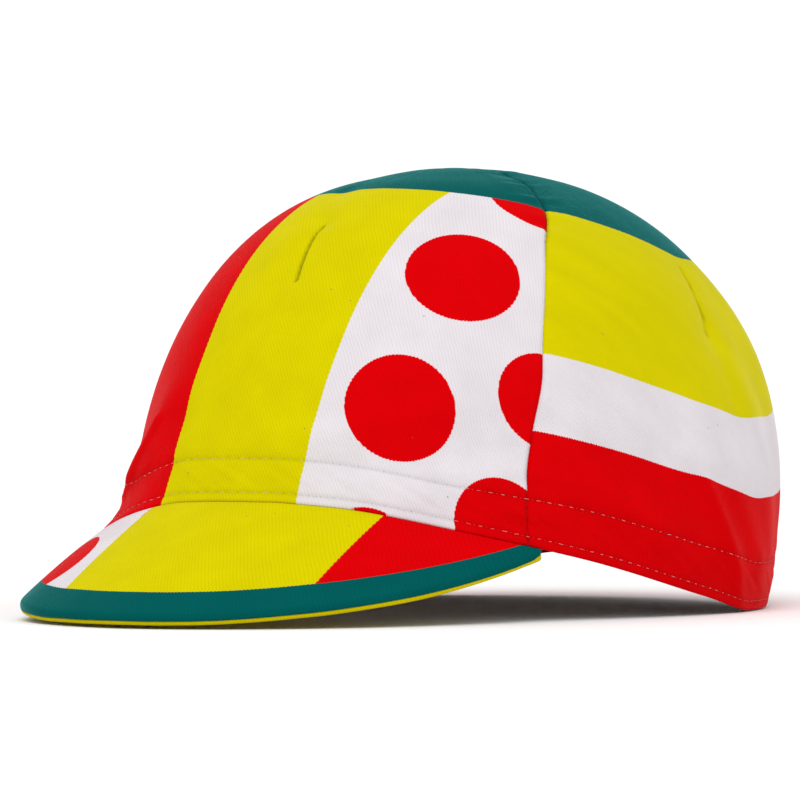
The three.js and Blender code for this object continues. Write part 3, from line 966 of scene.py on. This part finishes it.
# Height of the rib or value of the noise, and how bright the cloth is there: painted shade in the
# hollows between ribs, and uneven dye
RIB_HOLLOW_SHADE = {"From Min": 0.0, "From Max": 0.22, "To Min": 0.9, "To Max": 1.0}
MOTTLE = {"From Min": 0.3, "From Max": 0.7, "To Min": 0.95, "To Max": 1.03}


def shaded(node, painted, place, rib, lit):
    """Painted shade darkens the hollows between ribs, dye takes a little unevenly, and painted shade
    darkens the cloth in a dart or a seam, where hardly any light comes back."""
    # Painted shade in the hollows between ribs
    hollow = node("ShaderNodeMapRange", {"Value": rib, **RIB_HOLLOW_SHADE})
    mottle = node("ShaderNodeTexNoise", {"Vector": place, "Scale": MOTTLE_SCALE, "Detail": 5.0})
    mottle = node("ShaderNodeMapRange", {"Value": mottle, **MOTTLE})
    tone = node("ShaderNodeMath", {0: hollow, 1: mottle}, operation="MULTIPLY")
    # Painted shade in darts and seams darkens the colour
    tone = node("ShaderNodeMath", {0: tone, 1: lit}, operation="MULTIPLY")
    return node("ShaderNodeVectorMath", {0: painted, "Scale": tone}, operation="SCALE")


def specked(node, painted, place):
    """Slubs and pinholes: small specks, one in a few cells."""
    cell = node("ShaderNodeTexVoronoi", {"Vector": place, "Scale": SPECK_SCALE, "Randomness": 1.0})
    near = node("ShaderNodeMath", {0: cell, 1: SPECK_RADIUS}, operation="LESS_THAN")
    chosen = node("ShaderNodeSeparateColor", {0: cell.outputs["Color"]})
    chosen = node("ShaderNodeMath", {0: chosen, 1: SPECKS_LEFT_OUT}, operation="GREATER_THAN")
    speck = node("ShaderNodeMath", {0: near, 1: chosen}, operation="MULTIPLY")
    speck = node("ShaderNodeMath", {0: speck, 1: SPECK_STRENGTH}, operation="MULTIPLY")
    return node("ShaderNodeMix", {SHARE: speck, UNDER: painted, OVER: colour(SPECK_BROWN)},
                data_type="RGBA").outputs[MIXED]


# %% Printed cotton twill
FUZZ_SCALE = 2.6
RIB_HEIGHT = 0.00009
SHADE_MOST = 0.75
SHEEN = 0.52
SHEEN_WHITE = 0.2
SHEEN_ROUGHNESS = 0.22
TWILL_ROUGHNESS = 0.9
TWILL_SPECULAR = 0.02


def cotton_twill(name, ground, prints, rib_degrees, faded=0.0):
    """prints: pairs of a distance attribute and the colour inside it, from the lowest up."""
    material, tree, shader = new_material(name)
    node = partial(add_node, tree)

    def dyed(hex_code):
        return [mix(c, w, faded) for c, w in zip(colour(hex_code), colour(WHITE))]

    across, along, deep = (node("ShaderNodeAttribute", attribute_name=field).outputs["Fac"]
                           for field in ("cloth_x", "cloth_y", "deep"))
    place = node("ShaderNodeCombineXYZ", {"X": across, "Y": along})
    rib = twill_ribs(node, place, rib_degrees)
    fuzz = node("ShaderNodeTexNoise", {"Vector": place, "Scale": FUZZ_SCALE, "Detail": 3.0})
    rough = node("ShaderNodeMath", {0: rib, 1: fuzz}, operation="ADD")
    plain = node("ShaderNodeRGB")
    plain.outputs[0].default_value = dyed(ground)
    painted = printed_on(node, plain, prints, rough, dyed)
    # Painted shade: the cloth is darker and has less sheen in darts and seams
    lit = node("ShaderNodeMath", {0: deep, 1: -SHADE_MOST, 2: 1.0}, operation="MULTIPLY_ADD")
    painted = specked(node, shaded(node, painted, place, rib, lit), place)
    # Light that glances off the fuzz has passed dyed fibres, so it keeps part of their colour
    tint = node("ShaderNodeVectorMath", {0: painted}, operation="NORMALIZE")
    tint = node("ShaderNodeMix", {SHARE: SHEEN_WHITE, UNDER: tint, OVER: colour("#ffffff")},
                data_type="RGBA").outputs[MIXED]
    connect(tree, shader, {
        "Base Color": painted,
        "Normal": node("ShaderNodeBump", {"Height": rough, "Distance": RIB_HEIGHT, "Strength": 1.0}),
        "Roughness": TWILL_ROUGHNESS,
        "Specular IOR Level": TWILL_SPECULAR,
        "Sheen Weight": node("ShaderNodeMath", {0: lit, 1: SHEEN}, operation="MULTIPLY"),
        "Sheen Tint": tint,
        "Sheen Roughness": SHEEN_ROUGHNESS,
    })
    return material


# %% The finish of each cloth
REVERSE_FADED = 0.6
RIBS = {"front": -34, "back": -10, "peak": 29, "tape": 90}
PRINTS = {
    "front": [("left_side", WHITE), ("dots", RED), ("stripe", YELLOW), ("top_disc", GREEN)],
    "back": [("above_foot", WHITE), ("above_white", YELLOW), ("top_disc", GREEN)],
    "peak": [("right_panel", WHITE), ("panel_dots", RED), ("left_block", RED), ("border", GREEN)],
}
for half, piece in crown_pieces.items():
    # The print soaks through to the reverse only in part
    face, reverse = f"printed cotton twill, {half}", f"reverse of the {half} print"
    for name, faded in ((face, 0), (reverse, REVERSE_FADED)):
        piece.data.materials.append(cotton_twill(name, RED, PRINTS[half], RIBS[half], faded))
for piece, name, ground, prints, ribs in (
        (peak_top, "printed cotton twill, peak", YELLOW, PRINTS["peak"], RIBS["peak"]),
        (peak_under, "plain yellow cotton twill", UNDER_YELLOW, [], RIBS["peak"]),
        (band, "white cotton tape", WHITE, [], RIBS["tape"])):
    piece.data.materials.append(cotton_twill(name, ground, prints, ribs))
print("cloth materials:", len(bpy.data.materials))


# %% Sewing thread, and painted shade in needle holes
TWIST_SCALE = 4000.0
TAKEN_UP = 0.45


def speckled(name, light, dark):
    """Matt and a little uneven, for thread or for painted shade in a needle hole. Both take up part
    of the colour of the cloth they lie in."""
    material, tree, shader = new_material(name)
    node = partial(add_node, tree)
    place = node("ShaderNodeTexCoord").outputs["Object"]
    twist = node("ShaderNodeTexNoise", {"Vector": place, "Scale": TWIST_SCALE, "Detail": 1.0})
    tone = node("ShaderNodeMix", {SHARE: twist, UNDER: colour(light), OVER: colour(dark)},
                data_type="RGBA").outputs[MIXED]
    cloth = node("ShaderNodeAttribute", attribute_name="cloth_colour")
    tone = node("ShaderNodeMix", {SHARE: TAKEN_UP, UNDER: tone, OVER: cloth},
                data_type="RGBA").outputs[MIXED]
    connect(tree, shader, {"Base Color": tone, "Roughness": 0.7, "Sheen Weight": 0.2})
    return material


# %% Stitches by Geometry Nodes
STITCH_SIZES = {"Pitch": 3.2, "Stitch Length": 1.7, "Thread Width": 0.135, "Hole Width": 0.2}
STITCH_SEED = 4

# Each stitch leans by up to so much, in radians, and keeps a share of its length and width
STITCH_LEAN = {"Min": [-0.05, -0.05, -0.13], "Max": [0.05, 0.05, 0.13]}
STITCH_SHARE = {"Min": [0.55, 0.5, 0.5], "Max": [1.1, 1.05, 1.05]}
BEAD = {"Segments": 8, "Rings": 6, "Radius": 0.5}


def sewn_beads(node, given, points, bead, thread):
    """A bead of thread at each point, along the row and a little uneven."""
    turn = node("FunctionNodeAlignRotationToVector", {"Vector": points.outputs["Tangent"]}, axis="X")
    lean, uneven = (node("FunctionNodeRandomValue", {**limits, "Seed": seed}, data_type="FLOAT_VECTOR")
                    for limits, seed in ((STITCH_LEAN, STITCH_SEED), (STITCH_SHARE, STITCH_SEED + 1)))
    turn = node("FunctionNodeRotateRotation", {0: turn, 1: lean}, rotation_space="LOCAL")
    width = given.outputs["Thread Width"]
    size = node("ShaderNodeCombineXYZ", {"X": given.outputs["Stitch Length"], "Y": width, "Z": width})
    size = node("ShaderNodeVectorMath", {0: size, 1: uneven}, operation="MULTIPLY")
    placed = node("GeometryNodeInstanceOnPoints", {
        "Points": points, "Instance": bead, "Rotation": turn, "Scale": size})
    return node("GeometryNodeSetMaterial", {"Geometry": placed, "Material": thread})


def needle_holes(node, given, points, bead, needle_hole_shade):
    """The needle went through half a pitch further on, and a small dark bead there is painted shade in
    the hole.
    """
    half = node("ShaderNodeMath", {0: given.outputs["Pitch"], 1: 0.5}, operation="MULTIPLY")
    along = points.outputs["Tangent"]
    onward = node("ShaderNodeVectorMath", {0: along, "Scale": half}, operation="SCALE")
    between = node("GeometryNodeSetPosition", {"Geometry": points, "Offset": onward})
    holes = node("GeometryNodeInstanceOnPoints", {
        "Points": between, "Instance": bead, "Scale": given.outputs["Hole Width"]})
    return node("GeometryNodeSetMaterial", {"Geometry": holes, "Material": needle_hole_shade})


def stitch_tree(thread, needle_hole_shade):
    tree = bpy.data.node_groups.new("Lockstitch row", "GeometryNodeTree")
    node = partial(add_node, tree)
    for way in ("INPUT", "OUTPUT"):
        tree.interface.new_socket("Geometry", in_out=way, socket_type="NodeSocketGeometry")
    for size in STITCH_SIZES:
        tree.interface.new_socket(size, in_out="INPUT", socket_type="NodeSocketFloat")
    given = node("NodeGroupInput")
    curve = node("GeometryNodeMeshToCurve", {"Mesh": given.outputs["Geometry"]})
    points = node("GeometryNodeCurveToPoints", {"Curve": curve, "Length": given.outputs["Pitch"]},
                  mode="LENGTH")
    bead = node("GeometryNodeMeshUVSphere", BEAD)
    sewn = node("GeometryNodeJoinGeometry", {0: sewn_beads(node, given, points, bead, thread)})
    connect(tree, sewn, {0: needle_holes(node, given, points, bead, needle_hole_shade)})
    node("NodeGroupOutput", {"Geometry": node("GeometryNodeRealizeInstances", {0: sewn})})
    return tree


# %% Both rows of stitches
def printed_colours(prints, under):
    """Colour of the print at each point of a row of stitches."""
    colours = np.tile(colour(RED), (len(under["cloth_x"]), 1))
    for field, ink in prints:
        colours[under[field] > 0] = colour(ink)
    return colours


def stitches(name, lines, tree):
    """Beads and holes along the lines, as one plain mesh."""
    mesh = bpy.data.meshes.new(name)
    points, edges, colours = [], [], []
    for half, line, under in lines:
        colours.append(printed_colours(PRINTS[half], under))
        first = len(points)
        points += ((line + SHIFT) * MM).tolist()
        edges += [(first + k, first + k + 1) for k in range(len(line) - 1)]
    mesh.from_pydata(points, edges, [])
    attribute = mesh.attributes.new("cloth_colour", "FLOAT_COLOR", "POINT")
    attribute.data.foreach_set("color", np.concatenate(colours).reshape(-1).astype(np.float32))
    path = new_object(name, mesh)
    modifier = path.modifiers.new("Stitches", "NODES")
    modifier.node_group = tree
    for socket in tree.interface.items_tree:
        if socket.in_out == "INPUT" and socket.name in STITCH_SIZES:
            modifier[socket.identifier] = STITCH_SIZES[socket.name] * MM
    view = bpy.context.evaluated_depsgraph_get()
    beads = bpy.data.meshes.new_from_object(path.evaluated_get(view), depsgraph=view)
    bpy.data.objects.remove(path)
    beads.shade_smooth()
    print(f"{name}: {len(beads.polygons)} faces")
    return new_object(name, beads)


lockstitch = stitch_tree(speckled("spun polyester thread", THREAD_WHITE, THREAD_SHADE),
                         speckled("painted shade in a needle hole", HOLE_SHADE_PALE, HOLE_SHADE))
hem_stitches = stitches("hem_stitches", stitch_lines, lockstitch)

# %% [markdown]
# The picture is a plain product shot: the cap stands on white paper in soft, even light, seen
# from its front left at about the height of its own middle. One broad light high over the front
# models the folds, and a pale room fills the shadows. It is a distant light, because a near one
# would leave the far end of the paper grey.

# %% Camera
CAMERA_AROUND = 36.357
CAMERA_UP = 0.189
CAMERA_AWAY = 1605
PIXELS_PER_MM = 3.814
PICTURE = 800
CAP_IN_PICTURE = (462.2, 362.1)
LOOK_AT = np.array([0, 0, 64.2])


def towards(around, up):
    """Direction from the middle to a place so many degrees left of the front, and up."""
    turn, rise = radians(around), radians(up)
    return np.array([sin(turn) * cos(rise), -cos(turn) * cos(rise), sin(rise)])


def add_camera():
    back = towards(CAMERA_AROUND, CAMERA_UP)
    right = towards(CAMERA_AROUND + 90, 0)
    above = np.cross(back, right)
    target = LOOK_AT + SHIFT
    place = target + back * CAMERA_AWAY
    off_x = (CAP_IN_PICTURE[0] - PICTURE / 2) / PIXELS_PER_MM
    off_y = (PICTURE / 2 - CAP_IN_PICTURE[1]) / PIXELS_PER_MM
    aim = target - right * off_x - above * off_y
    camera = new_object("camera", bpy.data.cameras.new("camera"))
    camera.data.lens = camera.data.sensor_width * PIXELS_PER_MM * CAMERA_AWAY / PICTURE
    camera.location = Vector(place * MM)
    camera.rotation_euler = Vector(aim - place).to_track_quat("-Z", "Y").to_euler()
    bpy.context.scene.camera = camera
    print("camera lens", round(camera.data.lens), "mm, height", round(place[2]), "mm")


add_camera()


# %% Light
ROOM_LIGHT = 0.84
ROOM_SEEN = 1.05


def add_sun(name, around, up, spread, strength):
    light = new_object(name, bpy.data.lights.new(name, "SUN"))
    light.data.angle = radians(spread)
    light.data.energy = strength
    light.rotation_euler = Vector(-towards(around, up)).to_track_quat("-Z", "Y").to_euler()


add_sun("soft key over the front", around=28, up=58, spread=45, strength=1.25)

world = bpy.data.worlds.new("pale room")
bpy.context.scene.world = world
world.use_nodes = True
backdrop = world.node_tree.nodes["Background"]
node = partial(add_node, world.node_tree)
seen = node("ShaderNodeLightPath").outputs["Is Camera Ray"]
glow = node("ShaderNodeMapRange", {"Value": seen, "To Min": ROOM_LIGHT, "To Max": ROOM_SEEN})
connect(world.node_tree, backdrop, {"Strength": glow, "Color": colour("#ffffff")})
bpy.context.scene.view_settings.view_transform = "Standard"

# %% Floor
PAPER_REACH = 6
PAPER_DROP = 0.0002

corners = ((-1, -1), (1, -1), (1, 1), (-1, 1))
floor_mesh = bpy.data.meshes.new("floor")
floor_mesh.from_pydata([(x * PAPER_REACH, y * PAPER_REACH, -PAPER_DROP) for x, y in corners],
                       [], [(0, 1, 2, 3)])
floor = new_object("floor", floor_mesh)
# Matt white paper gives back no gloss, so the cap leaves a soft shadow on it and no reflection
paper, tree, shader = new_material("matt white paper")
connect(tree, shader, {"Base Color": colour(PAPER), "Roughness": 1.0, "Specular IOR Level": 0.0})
floor_mesh.materials.append(paper)

# %% [markdown]
# Last, each piece is tied to the frame: what it rides on, and which solid it stands for, which
# is then hidden.

# %% Pieces in the frame
dressed = [
    (crown_pieces["front"], "crown_front", "crown_front_twill"),
    (crown_pieces["back"], "crown_back", "crown_back_twill"),
    (band, "sweatband", "band_cotton"),
    (peak_top, "peak_top", "peak_top_twill"),
    (peak_under, "peak_under", "peak_under_twill"),
]
for piece, node, slot in dressed:
    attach(piece, "root")
    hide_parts(node)
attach(hem_stitches, "root")
